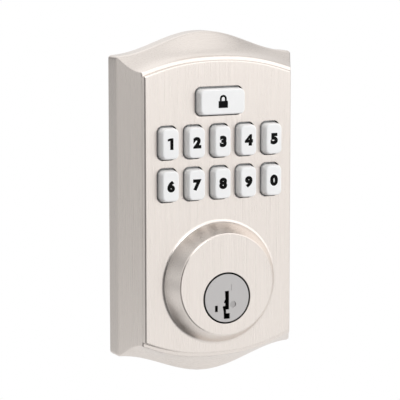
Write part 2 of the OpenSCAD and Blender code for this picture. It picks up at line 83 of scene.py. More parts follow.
# The boss's front edge: (past BOSS_R, below its front)
BOSS_EDGE = [(0.22, 0.42), (-0.02, 0.36), (-0.06, 0.18), (-0.28, 0)]
PLUG_HOLE_R, PLUG_HOLE_SIDES = 9.4, 128
LIP, LIP_SHOULDER = 0.22, 0.06
CYLINDER_SCREWS = [(-20, 21.5), (20, 21.5), (-15.5, -8.5), (15.5, -8.5)]
SCREW_POST_R = 2.6
PLATE_FRONT = 13.05
BOARD_SCREWS = [(side * 21.15, z) for side in (-1, 1) for z in (30.85, 70.9)]
BOARD_POST_R = 2.7
MAT_BACK = 13.15
POST_SIDES = 32
OVERCUT = 1

# Keys: ten digits in reading order, then the lock key
DIGITS = [1, 2, 3, 4, 5, 6, 7, 8, 9, 0]
COLUMNS = 5
LOCK_KEY = len(DIGITS)
KEY_COUNT = LOCK_KEY + 1
WINDOW_W, WINDOW_H = 7.9, 12.5
LOCK_W, LOCK_H = 19.1, 10.6
KEY_PITCH, ROW_PITCH, LOCK_PITCH, LOW_ROW = 10.3, 15.2, 14.3, 41.4
WINDOW_CORNER = 2.3
RIM = 0.16
# A window's softened rim: (how far it sinks, its width as a share of RIM)
RIM_STEPS = [(0.05, 0.4), (0.11, 0)]
KEY_GAP = 0.5
# The caps are a little narrower and lower than their gap asks, and sit low in their windows
KEY_TRIM_W, KEY_TRIM_H, KEY_DROP = 0.1, 0.2, 0.1
KEY_TOP = BODY_DEPTH + 3.5
KEY_SHOULDER = BODY_DEPTH + 0.7
KEY_FOOT = 16.05
FLANGE, FLANGE_H, FLANGE_CORNER = 0.8, 1, 0.3
# A cap's side from its shoulder to its top: (distance forward, narrower by)
KEY_ROLL = [
    (1.0, 0.1), (0.8, 0.14), (0.5, 0.2), (0.25, 0.2),
    (0.13, 0.2), (0.07, 0.24), (0.03, 0.26), (0.02, 0.4),
]

# Print on the keys, standing PRINT above and below their tops
PRINT = 0.03
NUMERAL_H, NUMERAL_WIDEN = 4.15, 1.1
TYPE_SIZE, TYPE_BOLD, TYPE_DEPTH, TYPE_FLATTEN = 5.6, 0.3, 0.15, 0.3
ONE_STEM, ONE_ASIDE, ONE_CORNER = 1.25, 0.3, 0.02
FLAG_FOOT, FLAG_OUT, FLAG_DOWN, FLAG_THIN = 1.15, 0.95, 0.25, 0.86
PADLOCK_W, PADLOCK_H, PADLOCK_CORNER, PADLOCK_DROP = 3.7, 2.5, 0.15, 1.0
SHACKLE_R, SHACKLE_WIRE, SHACKLE_RISE, SHACKLE_LEG = 1.0, 0.38, 1.05, 0.9


def key_place(i):
    """The middle of a key's window."""
    if i == LOCK_KEY:
        return 0.0, LOW_ROW + ROW_PITCH + LOCK_PITCH
    row = ROW_PITCH if i < COLUMNS else 0
    return (i % COLUMNS - (COLUMNS - 1) / 2) * KEY_PITCH, LOW_ROW + row


def window_size(i):
    return (LOCK_W, LOCK_H) if i == LOCK_KEY else (WINDOW_W, WINDOW_H)


# ---------- Working in edit mode, as by hand ----------

def only(obj):
    """Selects obj alone and makes it active."""
    if bpy.context.object and bpy.context.object.mode != "OBJECT":
        bpy.ops.object.mode_set(mode="OBJECT")
    bpy.ops.object.select_all(action="DESELECT")
    obj.select_set(True)
    bpy.context.view_layer.objects.active = obj


def edit(obj, kind="EDGE"):
    """Opens obj in edit mode with nothing selected."""
    only(obj)
    bpy.ops.object.mode_set(mode="EDIT")
    bpy.ops.mesh.select_mode(type=kind)
    bpy.ops.mesh.select_all(action="DESELECT")


def done():
    bpy.ops.object.mode_set(mode="OBJECT")


def pick_faces(obj, test):
    """Selects the faces whose middle and normal pass the test."""
    edit(obj, "FACE")
    done()
    for face in obj.data.polygons:
        face.select = test(face.center / MM, face.normal)
    bpy.ops.object.mode_set(mode="EDIT")


def pick_edges(obj, test):
    """Selects the edges whose two ends pass the test."""
    edit(obj, "EDGE")
    done()
    verts = obj.data.vertices
    for edge in obj.data.edges:
        a, b = (verts[i].co / MM for i in edge.vertices)
        edge.select = test(a, b)
    bpy.ops.object.mode_set(mode="EDIT")


def settle(obj):
    """Puts obj's place, turn and size into its mesh."""
    only(obj)
    bpy.ops.object.transform_apply(location=True, rotation=True, scale=True)


def add_modifier(obj, kind, **values):
    mod = obj.modifiers.new(kind.title(), kind)
    for name, value in values.items():
        setattr(mod, name, value)
    return mod


def apply_modifier(obj, kind, **values):
    mod = add_modifier(obj, kind, **values)
    only(obj)
    bpy.ops.object.modifier_apply(modifier=mod.name)


def join(base, *others):
    only(base)
    for other in others:
        other.select_set(True)
    bpy.ops.object.join()
    return base


def combine(obj, other, operation):
    """Cuts the other solid out of obj, or adds it to obj, and removes the other."""
    apply_modifier(obj, "BOOLEAN", operation=operation, solver="EXACT", object=other)
    bpy.data.objects.remove(other)


def cut(obj, cutter):
    combine(obj, cutter, "DIFFERENCE")


def tidy_mesh(obj, angle=32, weighted=True):
    """Merges doubles, turns the faces outwards and shades it smooth where it bends gently."""
    edit(obj, "VERT")
    bpy.ops.mesh.select_all(action="SELECT")
    bpy.ops.mesh.remove_doubles(threshold=0.0005 * MM)
    bpy.ops.mesh.normals_make_consistent(inside=False)
    done()
    bpy.ops.object.shade_smooth_by_angle(angle=math.radians(angle))
    if weighted:
        apply_modifier(obj, "WEIGHTED_NORMAL", keep_sharp=True, weight=50)


def round_block(name, w, h, corner, back, front, x, z, segments):
    """A block with rounded upright edges, standing out from the door between two distances."""
    bpy.ops.object.select_all(action="DESELECT")
    bpy.ops.mesh.primitive_cube_add(size=1, location=(x * MM, -(back + front) / 2 * MM, z * MM))
    block = bpy.context.object
    block.name = name
    block.scale = (w * MM, (front - back) * MM, h * MM)
    settle(block)
    pick_edges(block, lambda a, b: abs(a.x - b.x) < 0.001 and abs(a.z - b.z) < 0.001)
    bpy.ops.mesh.bevel(offset=corner * MM, segments=segments, affect="EDGES")
    done()
    return block


def swell(obj, plane, steps, centre):
    """Extrudes obj's front face in steps of (distance forward, width added, height added)."""
    w, h = plane
    level = min(v.co.y for v in obj.data.vertices) / MM
    pick_faces(obj, lambda c, n: n.y < -0.9 and abs(c.y - level) < 0.01)
    for forward, dw, dh in steps:
        bpy.ops.mesh.extrude_region_move(
            TRANSFORM_OT_translate={"value": (0, -forward * MM, 0)}
        )
        bpy.ops.transform.resize(
            value=((w + dw) / w, 1, (h + dh) / h),
            center_override=(centre[0] * MM, 0, centre[1] * MM),
        )
        w, h = w + dw, h + dh
    done()


# ---------- Cover ----------

def half_width(out):
    lean = max(0.0, (out - BAND_DEPTH) / (BODY_DEPTH - BAND_DEPTH))
    return (BODY_W - (BODY_W - FACE_W) * lean) / 2


def cove(out):
    """How much of the hollow moulding is behind, from 0 at the band to 1 at the step."""
    share = (out - BAND_DEPTH) / (COVE_END - BAND_DEPTH)
    return math.sin(math.pi / 2 * min(1.0, max(0.0, share)))


def outline(out, step=STEP_W, inset=0.0):
    """Draws the cover's outline at a distance out: a wave at the band, an arch at the face."""
    w = half_width(out) - inset
    reach = WAVE_HANDLE * w
    bend = cove(out)
    ends = []
    for sign, rise in ((1, TOP_CROWN), (-1, LOW_CROWN)):
        arch_r = ((FACE_W / 2) ** 2 + rise**2) / (2 * rise)
        slope = FACE_W / 2 / math.sqrt(arch_r**2 - (FACE_W / 2) ** 2)
        corner = WAVE_CORNER + (FACE_H / 2 + step - WAVE_CORNER) * bend - inset
        crown = BODY_H / 2 + (FACE_H / 2 + rise + step - BODY_H / 2) * bend - inset
        ends.append((sign * corner, sign * crown, sign * (corner + slope * reach * bend)))
    (top, top_crown, top_lift), (low, low_crown, low_lift) = ends
    points = [
        ((-w, top), (-w, top / 3), (-w + reach, top_lift)),
        ((0, top_crown), (-reach, top_crown), (reach, top_crown)),
        ((w, top), (w - reach, top_lift), (w, top / 3)),
        ((w, low), (w, low / 3), (w - reach, low_lift)),
        ((0, low_crown), (reach, low_crown), (-reach, low_crown)),
        ((-w, low), (-w + reach, low_lift), (-w, low / 3)),
    ]
    curve = bpy.data.curves.new("outline", "CURVE")
    curve.dimensions = "3D"
    spline = curve.splines.new("BEZIER")
    spline.bezier_points.add(len(points) - 1)
    spline.use_cyclic_u = True
    spline.resolution_u = 24

    def at(point):
        return point[0] * MM, -out * MM, (point[1] + COVER_RISE) * MM

    for knot, (middle, left, right) in zip(spline.bezier_points, points):
        knot.handle_left_type = knot.handle_right_type = "FREE"
        knot.co = at(middle)
        knot.handle_left = at(left)
        knot.handle_right = at(right)
    obj = bpy.data.objects.new("outline", curve)
    bpy.context.scene.collection.objects.link(obj)
    only(obj)
    bpy.ops.object.convert(target="MESH")
    return bpy.context.object


def rod(name, r, back, front, x, z, vertices):
    """A round bar standing out from the door between two distances."""
    bpy.ops.object.select_all(action="DESELECT")
    bpy.ops.mesh.primitive_cylinder_add(
        vertices=vertices, radius=r * MM, depth=(front - back) * MM,
        location=(x * MM, -(back + front) / 2 * MM, z * MM), rotation=(math.pi / 2, 0, 0),
    )
    bar = bpy.context.object
    bar.name = name
    settle(bar)
    return bar


def fill_flat(obj, out):
    """Fills the open edges that lie at a distance out."""
    edit(obj)
    done()
    uses = {}
    for face in obj.data.polygons:
        for key in face.edge_keys:
            uses[key] = uses.get(key, 0) + 1
    verts = obj.data.vertices
    for edge in obj.data.edges:
        level = all(abs(verts[i].co.y / MM + out) < 0.005 for i in edge.vertices)
        edge.select = level and uses.get(tuple(sorted(edge.vertices)), 0) == 1
    bpy.ops.object.mode_set(mode="EDIT")
    bpy.ops.mesh.fill(use_beauty=True)
    done()


def ring_step(forward, radius, new_radius, centre_z):
    """Extrudes the selected ring forward and changes its radius."""
    bpy.ops.mesh.extrude_edges_move(TRANSFORM_OT_translate={"value": (0, -forward * MM, 0)})
    grow = new_radius / radius
    bpy.ops.transform.resize(value=(grow, 1, grow), center_override=(0, 0, centre_z * MM))


def select_ring(obj, out, radius, centre_z):
    """Adds to the selection the edges of a circle at a distance out."""
    done()
    verts = obj.data.vertices

    def on_ring(co):
        r = math.hypot(co.x / MM, co.z / MM - centre_z)
        return abs(-co.y / MM - out) < 0.02 and abs(r - radius) < 0.02

    for edge in obj.data.edges:
        if all(on_ring(verts[i].co) for i in edge.vertices):
            edge.select = True
    bpy.ops.object.mode_set(mode="EDIT")


def add_window(i):
    """Sinks a window through the face of the open mesh, with a softened rim."""
    x, z = key_place(i)
    w, h = window_size(i)
    bpy.ops.mesh.select_all(action="DESELECT")
    bpy.ops.mesh.primitive_circle_add(
        vertices=4, radius=math.sqrt(0.5), location=(x * MM, -BODY_DEPTH * MM, z * MM),
        rotation=(math.pi / 2, math.pi / 4, 0),
    )
    wide, high = w + 2 * RIM, h + 2 * RIM
    bpy.ops.transform.resize(
        value=(wide * MM, 1, high * MM), center_override=(x * MM, -BODY_DEPTH * MM, z * MM)
    )
    bpy.ops.mesh.bevel(offset=(WINDOW_CORNER + RIM) * MM, segments=10, affect="VERTICES")
    for sink, share in RIM_STEPS + [(BODY_DEPTH - FACE_IN + OVERCUT / 2, 0)]:
        bpy.ops.mesh.extrude_edges_move(TRANSFORM_OT_translate={"value": (0, sink * MM, 0)})
        new_wide, new_high = w + 2 * share * RIM, h + 2 * share * RIM
        bpy.ops.transform.resize(
            value=(new_wide / wide, 1, new_high / high), center_override=(x * MM, 0, z * MM)
        )
        wide, high = new_wide, new_high
    bpy.ops.mesh.edge_face_add()


def bridge(loops):
    """Bridges outlines into one skin, open at both ends."""
    skin = join(*loops)
    settle(skin)
    edit(skin)
    bpy.ops.mesh.select_all(action="SELECT")
    bpy.ops.mesh.bridge_edge_loops(type="SINGLE")
    done()
    return skin


def at_corner(p):
    """True at the height where the cover's side meets its top or its bottom."""
    face_corner = FACE_H / 2 + (STEP_W if -p.y < COVE_END + 0.05 else 0)
    corner = WAVE_CORNER + (face_corner - WAVE_CORNER) * cove(-p.y)
    return abs(abs(p.z - COVER_RISE) - corner) < CORNER_SLACK


def along_corner(a, b):
    """True for an edge of the cover's corner that runs from one outline to the next."""
    onward = abs(a.y - b.y) > LEVEL_SLACK
    beside = abs(abs(a.x) - half_width(-a.y)) < CORNER_SLACK
    return onward and beside and at_corner(a) and at_corner(b)


def soften_edges(skin):
    """Bevels the cover's edges, some soft and some crisp."""

    def weigh(test, share):
        pick_edges(skin, test)
        bpy.ops.transform.edge_bevelweight(value=share)
        done()

    def low(a, b):
        return along_corner(a, b) and max(-a.y, -b.y) < BAND_DEPTH + LEVEL_SLACK

    def high(a, b):
        return along_corner(a, b) and min(-a.y, -b.y) > BAND_DEPTH - LEVEL_SLACK

    weigh(low, WALL_CORNER)
    weigh(high, MITRE)
    for out, share in EDGE_SHARES:
        weigh(lambda a, b: all(abs(-p.y - out) < LEVEL_SLACK for p in (a, b)), share)
    apply_modifier(
        skin, "BEVEL", width=EDGE_ROUND * MM, segments=4, limit_method="WEIGHT",
        use_clamp_overlap=False, miter_outer="MITER_SHARP",
    )


def raise_boss(skin):
    """Draws a ring on the face up through the boss's hollow foot to its flat front."""
    edit(skin)
    lean = math.atan((BOSS_BASE_R - BOSS_R) / BOSS_H)
    foot_r = BOSS_BASE_R + BOSS_FILLET * math.tan(math.pi / 4 - lean / 2)
    bpy.ops.mesh.primitive_circle_add(
        vertices=BOSS_SIDES, radius=foot_r * MM,
        location=(0, -BODY_DEPTH * MM, BOSS_RISE * MM), rotation=(math.pi / 2, 0, 0),
    )
    turn = math.pi / 2 - lean
    profile = []
    for k in range(1, FILLET_STEPS + 1):
        a = turn * k / FILLET_STEPS
        profile.append((foot_r - BOSS_FILLET * math.sin(a), BOSS_FILLET * (1 - math.cos(a))))
    profile += [(BOSS_R + past, BOSS_H - below) for past, below in BOSS_EDGE]
    r, height = foot_r, 0.0
    for new_r, new_height in profile:
        ring_step(new_height - height, r, new_r, BOSS_RISE)
        r, height = new_r, new_height
    done()


def open_plug_hole(skin):
    """Makes the front of the boss, with a hole for the plug and a rounded lip round it."""
    edit(skin)
    bpy.ops.mesh.primitive_circle_add(
        vertices=PLUG_HOLE_SIDES, radius=(PLUG_HOLE_R + LIP) * MM,
        location=(0, -BOSS_FRONT * MM, 0), rotation=(math.pi / 2, 0, 0),
    )
    ring_step(-LIP_SHOULDER, PLUG_HOLE_R + LIP, PLUG_HOLE_R + LIP_SHOULDER, 0)
    ring_step(LIP_SHOULDER - LIP, PLUG_HOLE_R + LIP_SHOULDER, PLUG_HOLE_R, 0)
    ring_step(-WALL, PLUG_HOLE_R, PLUG_HOLE_R, 0)
    bpy.ops.mesh.edge_face_add()
    bpy.ops.mesh.select_all(action="DESELECT")
    select_ring(skin, BOSS_FRONT, PLUG_HOLE_R + LIP, 0)
    select_ring(skin, BOSS_FRONT, BOSS_R + BOSS_EDGE[-1][0], BOSS_RISE)
    bpy.ops.mesh.fill(use_beauty=True)
    done()


def make_room():
    """The room inside the cover, open towards the door, less the posts that stand in it."""
    inset = WALL - WALL_TRIM
    levels = [-OVERCUT] + [out for out in COVE_LEVELS if out < FACE_IN - 1]
    loops = [outline(out, inset=inset) for out in levels]
    room = bridge(loops + [outline(FACE_IN, step=0, inset=inset)])
    fill_flat(room, -OVERCUT)
    fill_flat(room, FACE_IN)
    tidy_mesh(room)
    posts = [(SCREW_POST_R, PLATE_FRONT, spot) for spot in CYLINDER_SCREWS]
    posts += [(BOARD_POST_R, MAT_BACK, spot) for spot in BOARD_SCREWS]
    for r, back, (x, z) in posts:
        cut(room, rod("post", r, back, FACE_IN + OVERCUT, x, z, POST_SIDES))
    return room


def make_cover():
    """The cast cover: a shell with the boss raised on it and the windows sunk through it."""
    loops = [outline(0, inset=REAR_EDGE_IN), outline(REAR_EDGE)]
    loops += [outline(out) for out in COVE_LEVELS]
    loops += [outline(STEP_FLOOR, step=0), outline(FACE_RIM, step=0)]
    loops += [outline(BODY_DEPTH, step=0, inset=FACE_MARGIN)]
    skin = bridge(loops)
    skin.name = "cover"
    soften_edges(skin)
    raise_boss(skin)
    open_plug_hole(skin)
    edit(skin)
    for i in range(KEY_COUNT):
        add_window(i)
    done()

    # The face between its outline, the windows and the foot of the boss, and the back
    fill_flat(skin, BODY_DEPTH)
    fill_flat(skin, 0)
    tidy_mesh(skin)
    cut(skin, make_room())
    boss_front_in = BOSS_FRONT - WALL
    cut(skin, rod("boss_room", BOSS_ROOM_R, FACE_IN - OVERCUT, boss_front_in, 0, BOSS_RISE, 96))
    tidy_mesh(skin, angle=28, weighted=False)

    # The rim against the door stays flat
    pick_faces(skin, lambda c, n: n.y > 0.9 and abs(c.y) < 0.02)
    bpy.ops.mesh.mark_sharp()
    done()
    apply_modifier(skin, "WEIGHTED_NORMAL", keep_sharp=True, weight=50)
    return skin


def in_window(c, n):
    """True on the walls of the windows."""
    for i in range(KEY_COUNT):
        x, z = key_place(i)
        w, h = window_size(i)
        if abs(c.x - x) < w / 2 + 0.1 and abs(c.z - z) < h / 2 + 0.1:
            return abs(n.y) < 0.5 and FACE_IN - 0.1 < -c.y < BODY_DEPTH - 0.12
    return False


# ---------- Keys ----------

def make_key(i):
    """A cap that leans in and rolls over into its flat top, with a flange behind the cover."""
    x, z = key_place(i)
    z -= KEY_DROP
    w, h = window_size(i)
    w, h = w - 2 * KEY_GAP - KEY_TRIM_W, h - 2 * KEY_GAP - KEY_TRIM_H
    name = "cap_lock" if i == LOCK_KEY else f"cap_{DIGITS[i]}"
    corner = WINDOW_CORNER - KEY_GAP
    cap = round_block(name, w, h, corner, KEY_FOOT, KEY_SHOULDER, x, z, segments=10)
    swell(cap, (w, h), [(forward, -less, -less) for forward, less in KEY_ROLL], (x, z))
    flange = round_block(
        "flange", w + 2 * FLANGE, h + 2 * FLANGE, FLANGE_CORNER,
        KEY_FOOT, KEY_FOOT + FLANGE_H, x, z, segments=2,
    )
    combine(cap, flange, "UNION")
    tidy_mesh(cap, angle=40)
    return cap


def make_numeral(i):
    """A printed numeral, a hair thick on the key's top."""
    x, z = key_place(i)
    if DIGITS[i] == 1:
        return make_one(x, z)
    bpy.ops.object.select_all(action="DESELECT")
    bpy.ops.object.text_add(location=(0, 0, 0))
    text = bpy.context.object
    text.data.body = str(DIGITS[i])
    text.data.size = TYPE_SIZE * MM
    text.data.align_x = "CENTER"
    text.data.offset = TYPE_BOLD * MM
    text.data.extrude = 0
    text.data.bevel_depth = TYPE_DEPTH * MM
    text.data.bevel_resolution = 0
    text.data.resolution_u = 8
    bpy.ops.object.convert(target="MESH")
    text = bpy.context.object
    text.name = f"numeral_{DIGITS[i]}"
    text.rotation_euler = (math.pi / 2, 0, 0)
    settle(text)
    co = [v.co for v in text.data.vertices]
    mid_x = (min(c.x for c in co) + max(c.x for c in co)) / 2
    low, high = min(c.z for c in co), max(c.z for c in co)
    size = NUMERAL_H * MM / (high - low)
    text.scale = (NUMERAL_WIDEN * size, TYPE_FLATTEN, size)
    text.location = (
        x * MM - mid_x * NUMERAL_WIDEN * size, -KEY_TOP * MM, z * MM - (low + high) / 2 * size
    )
    settle(text)
    tidy_mesh(text, angle=30, weighted=False)
    return text


def printed_block(name, w, h, corner, x, z, segments):
    """A block a hair thick on a key's top."""
    return round_block(
        name, w, h, corner, KEY_TOP - PRINT, KEY_TOP + PRINT, x, z, segments=segments
    )


def make_one(x, z):
    """The numeral 1: a bold stem with a flag drawn out of its top."""
    one = printed_block("numeral_1", ONE_STEM, NUMERAL_H, ONE_CORNER, x + ONE_ASIDE, z, 1)
    edit(one, "FACE")
    bpy.ops.mesh.select_all(action="SELECT")
    bpy.ops.mesh.bisect(plane_co=(0, 0, (z + FLAG_FOOT) * MM), plane_no=(0, 0, 1))
    done()
    pick_faces(one, lambda c, n: n.x < -0.9 and c.z > z + FLAG_FOOT + 0.05)
    bpy.ops.mesh.extrude_region_move(
        TRANSFORM_OT_translate={"value": (-FLAG_OUT * MM, 0, -FLAG_DOWN * MM)}
    )
    bpy.ops.transform.resize(value=(1, 1, FLAG_THIN), center_override=(0, 0, (z + 1.7) * MM))
    done()
    tidy_mesh(one, angle=30, weighted=False)
    return one


def make_padlock():
    """A plain padlock: a block with a half-round shackle on it."""
    z = key_place(LOCK_KEY)[1]
    body = printed_block(
        "padlock_sign", PADLOCK_W, PADLOCK_H, PADLOCK_CORNER, 0, z - PADLOCK_DROP, 3
    )
    middle = (z + SHACKLE_RISE) * MM
    bpy.ops.object.select_all(action="DESELECT")
    bpy.ops.mesh.primitive_torus_add(
        location=(0, -KEY_TOP * MM, middle), rotation=(math.pi / 2, 0, 0),
        major_segments=48, minor_segments=4,
        major_radius=SHACKLE_R * MM, minor_radius=SHACKLE_WIRE * MM,
    )
    shackle = bpy.context.object
    shackle.name = "shackle"
    settle(shackle)

    # Its ring is squared off to a hair's thickness, halved, and its two legs drawn down
    pick_faces(shackle, lambda c, n: True)
    bpy.ops.transform.resize(
        value=(1, PRINT / SHACKLE_WIRE, 1), center_override=(0, -KEY_TOP * MM, 0)
    )
    bpy.ops.mesh.bisect(
        plane_co=(0, 0, middle), plane_no=(0, 0, 1), clear_inner=True, use_fill=True
    )
    done()
    pick_faces(shackle, lambda c, n: n.z < -0.9)
    bpy.ops.mesh.extrude_region_move(
        TRANSFORM_OT_translate={"value": (0, 0, -SHACKLE_LEG * MM)}
    )
    done()
    sign = join(body, shackle)
    tidy_mesh(sign, angle=30, weighted=False)
    return sign


# ---------- Materials ----------

# The middle of a mask's range, where most of its values lie
MASK_LOW, MASK_HIGH = 0.3, 0.7
# Grain: lines per metre across it, and along it upright or level
ACROSS, ALONG_UPRIGHT, ALONG_LEVEL = 5200, 42, 46


def socket(node, name, value):
    node.inputs[name].default_value = value


def new_material(name, colour, roughness, metallic=0.0, **extra):
    mat = bpy.data.materials.new(name)
    mat.use_nodes = True
    shader = mat.node_tree.nodes["Principled BSDF"]
    socket(shader, "Base Color", (*colour, 1))
    socket(shader, "Roughness", roughness)
    socket(shader, "Metallic", metallic)
    for key, value in extra.items():
        socket(shader, key.replace("_", " "), value)
    return mat, mat.node_tree, shader


def start_group(name, inputs, outputs):
    group = bpy.data.node_groups.new(name, "ShaderNodeTree")
    for label, kind, value in inputs:
        sock = group.interface.new_socket(label, in_out="INPUT", socket_type=kind)
        sock.default_value = value
    for label, kind in outputs:
        group.interface.new_socket(label, in_out="OUTPUT", socket_type=kind)
    return group, group.nodes.new("NodeGroupInput"), group.nodes.new("NodeGroupOutput")


def math_node(tree, operation, a, b=None, c=None):
    node = tree.nodes.new("ShaderNodeMath")
    node.operation = operation
    for k, value in enumerate((a, b, c)):
        if value is None:
            continue
        if isinstance(value, (int, float)):
            node.inputs[k].default_value = value
        else:
            tree.links.new(value, node.inputs[k])
    return node.outputs[0]


def vector_math(tree, operation, a, b=None):
    node = tree.nodes.new("ShaderNodeVectorMath")
    node.operation = operation
    tree.links.new(a, node.inputs[0])
    if b is not None:
        node.inputs[1].default_value = b
    return node.outputs["Value" if operation == "DOT_PRODUCT" else "Vector"]


def map_range(tree, value, from_low, from_high, to_low=0.0, to_high=1.0, eased=False):
    """Maps one range of a value onto another, evenly or eased in and out."""
    node = tree.nodes.new("ShaderNodeMapRange")
    if eased:
        node.interpolation_type = "SMOOTHSTEP"
    socket(node, "From Min", from_low)
    socket(node, "From Max", from_high)
    socket(node, "To Min", to_low)
    socket(node, "To Max", to_high)
    tree.links.new(value, node.inputs["Value"])
    return node.outputs["Result"]


def mix_colours(tree, mask, a, b):
    """Mixes two colours by a mask. A colour is three numbers or another node's output."""
    mix = tree.nodes.new("ShaderNodeMix")
    mix.data_type = "RGBA"
    for name, colour in (("A", a), ("B", b)):
        if isinstance(colour, tuple):
            socket(mix, name, (*colour, 1))
        else:
            tree.links.new(colour, mix.inputs[name])
    tree.links.new(mask, mix.inputs["Factor"])
    return mix.outputs["Result"]


def stretched_noise(tree, scale, detail):
    """Noise on object coordinates with its own scale along each axis."""
    place = tree.nodes.new("ShaderNodeTexCoord")
    mapping = tree.nodes.new("ShaderNodeMapping")
    socket(mapping, "Scale", scale)
    noise = tree.nodes.new("ShaderNodeTexNoise")
    socket(noise, "Scale", 1.0)
    socket(noise, "Detail", detail)
    socket(noise, "Roughness", 0.6)
    tree.links.new(place.outputs["Object"], mapping.inputs["Vector"])
    tree.links.new(mapping.outputs["Vector"], noise.inputs["Vector"])
    return noise.outputs["Fac"]


def make_brushing():
    """Brushed grain: upright on walls and faces, level where a surface looks up or down."""
    group, start, end = start_group(
        "brushed_grain",
        [("Depth", "NodeSocketFloat", 1.0)],
        [("Grain", "NodeSocketFloat")],
    )
    upright = stretched_noise(group, (ACROSS, ACROSS, ALONG_UPRIGHT), 3)
    along = stretched_noise(group, (ALONG_LEVEL, ACROSS, ACROSS), 3)
    normal = group.nodes.new("ShaderNodeNewGeometry")
    parts = group.nodes.new("ShaderNodeSeparateXYZ")
    group.links.new(normal.outputs["Normal"], parts.inputs["Vector"])
    slant = math_node(group, "ABSOLUTE", parts.outputs["Z"])
    mix = group.nodes.new("ShaderNodeMix")
    group.links.new(map_range(group, slant, 0.35, 0.55), mix.inputs["Factor"])
    group.links.new(upright, mix.inputs["A"])
    group.links.new(along, mix.inputs["B"])
    centred = math_node(group, "SUBTRACT", mix.outputs["Result"], 0.5)
    grain = math_node(group, "MULTIPLY_ADD", centred, start.outputs["Depth"], 0.5)
    group.links.new(grain, end.inputs["Grain"])
    return group


def make_speckle():
    """Fine moulded or cast texture."""
    group, start, end = start_group(
        "fine_texture",
        [("Scale", "NodeSocketFloat", 2500.0), ("Strength", "NodeSocketFloat", 1.0)],
        [("Height", "NodeSocketFloat"), ("Cloud", "NodeSocketFloat")],
    )
    place = group.nodes.new("ShaderNodeTexCoord")
    noise = group.nodes.new("ShaderNodeTexNoise")
    socket(noise, "Detail", 4)
    group.links.new(place.outputs["Object"], noise.inputs["Vector"])
    group.links.new(start.outputs["Scale"], noise.inputs["Scale"])
    centred = math_node(group, "SUBTRACT", noise.outputs["Fac"], 0.5)
    height = math_node(group, "MULTIPLY_ADD", centred, start.outputs["Strength"], 0.5)
    group.links.new(height, end.inputs["Height"])
    cloud = group.nodes.new("ShaderNodeTexNoise")
    socket(cloud, "Scale", 90.0)
    socket(cloud, "Detail", 3)
    group.links.new(place.outputs["Object"], cloud.inputs["Vector"])
    group.links.new(cloud.outputs["Fac"], end.inputs["Cloud"])
    return group


BRUSHING = make_brushing()
SPECKLE = make_speckle()


def use_group(tree, group, **values):
    node = tree.nodes.new("ShaderNodeGroup")
    node.node_tree = group
    for name, value in values.items():
        socket(node, name, value)
    return node


def vary(tree, shader, mask, name, low, high, mask_low=MASK_LOW, mask_high=MASK_HIGH):
    """Lets a mask move one of the shader's values between two limits."""
    value = map_range(tree, mask, mask_low, mask_high, low, high)
    tree.links.new(value, shader.inputs[name])


def between_shades(tree, mask, dark, light):
    """A colour that a mask moves between two shades."""
    return mix_colours(tree, map_range(tree, mask, MASK_LOW, MASK_HIGH), dark, light)


def bump(tree, shader, height, distance):
    node = tree.nodes.new("ShaderNodeBump")
    socket(node, "Strength", 1.0)
    socket(node, "Distance", distance * MM)
    tree.links.new(height, node.inputs["Height"])
    tree.links.new(node.outputs["Normal"], shader.inputs["Normal"])


def shade(colour, factor):
    return tuple(min(1.0, c * factor) for c in colour)


def brushed(name, colour, roughness, depth=1.0, spread=0.05, relief=0.004):
    """Brushed plate: the grain moves its roughness, colour and relief."""
    mat, tree, shader = new_material(name, colour, roughness, 1.0)
    grain = use_group(tree, BRUSHING, Depth=depth).outputs["Grain"]
    shades = between_shades(tree, grain, shade(colour, 0.955), shade(colour, 1.03))
    tree.links.new(shades, shader.inputs["Base Color"])
    vary(tree, shader, grain, "Roughness", roughness - spread, roughness + spread)
    bump(tree, shader, grain, relief)
    return mat


def moulded(
    name, colour, roughness, scale=2500.0, relief=0.01, variation=0.06, metallic=0.0, **extra
):
    """Moulded or cast surface: a fine texture in relief, and faint clouds in colour and gloss."""
    mat, tree, shader = new_material(name, colour, roughness, metallic, **extra)
    texture = use_group(tree, SPECKLE, Scale=scale)
    cloud = texture.outputs["Cloud"]
    dark, light = shade(colour, 1 - variation), shade(colour, 1 + variation)
    tree.links.new(between_shades(tree, cloud, dark, light), shader.inputs["Base Color"])
    vary(tree, shader, cloud, "Roughness", roughness - 0.04, roughness + 0.05)
    bump(tree, shader, texture.outputs["Height"], relief)
    return mat


NICKEL = brushed("satin_nickel", (0.775, 0.716, 0.670), 0.3)
KEY_WHITE = moulded(
    "key_white", (0.87, 0.87, 0.87), 0.42, scale=6000.0, relief=0.002, variation=0.012
)
INK = moulded(
    "black_print", (0.002, 0.002, 0.002), 0.7, scale=9000.0, relief=0.001, variation=0.3,
    Specular_IOR_Level=0.1,
)
# Painted shade: the walls of the cover's windows are drawn near black, as the deep gaps round the
# keys are in shade
WINDOW_PAINTED_SHADE = moulded("window_painted_shade", (0.004, 0.004, 0.004), 0.8, relief=0.002, variation=0.3)

PLUG_FACE, PLUG_ROUGHNESS = (0.50, 0.485, 0.48), 0.34
# Painted shade: the keyway's metal is drawn near black below the face, where the deep slot is in
# shade
KEYWAY_PAINTED_SHADE, KEYWAY_ROUGHNESS = (0.012, 0.011, 0.010), 0.75
# How far below the plug's face the painted shade in the keyway starts and is full
KEYWAY_SHADE_START, KEYWAY_SHADE_FULL = 0.15, 0.9


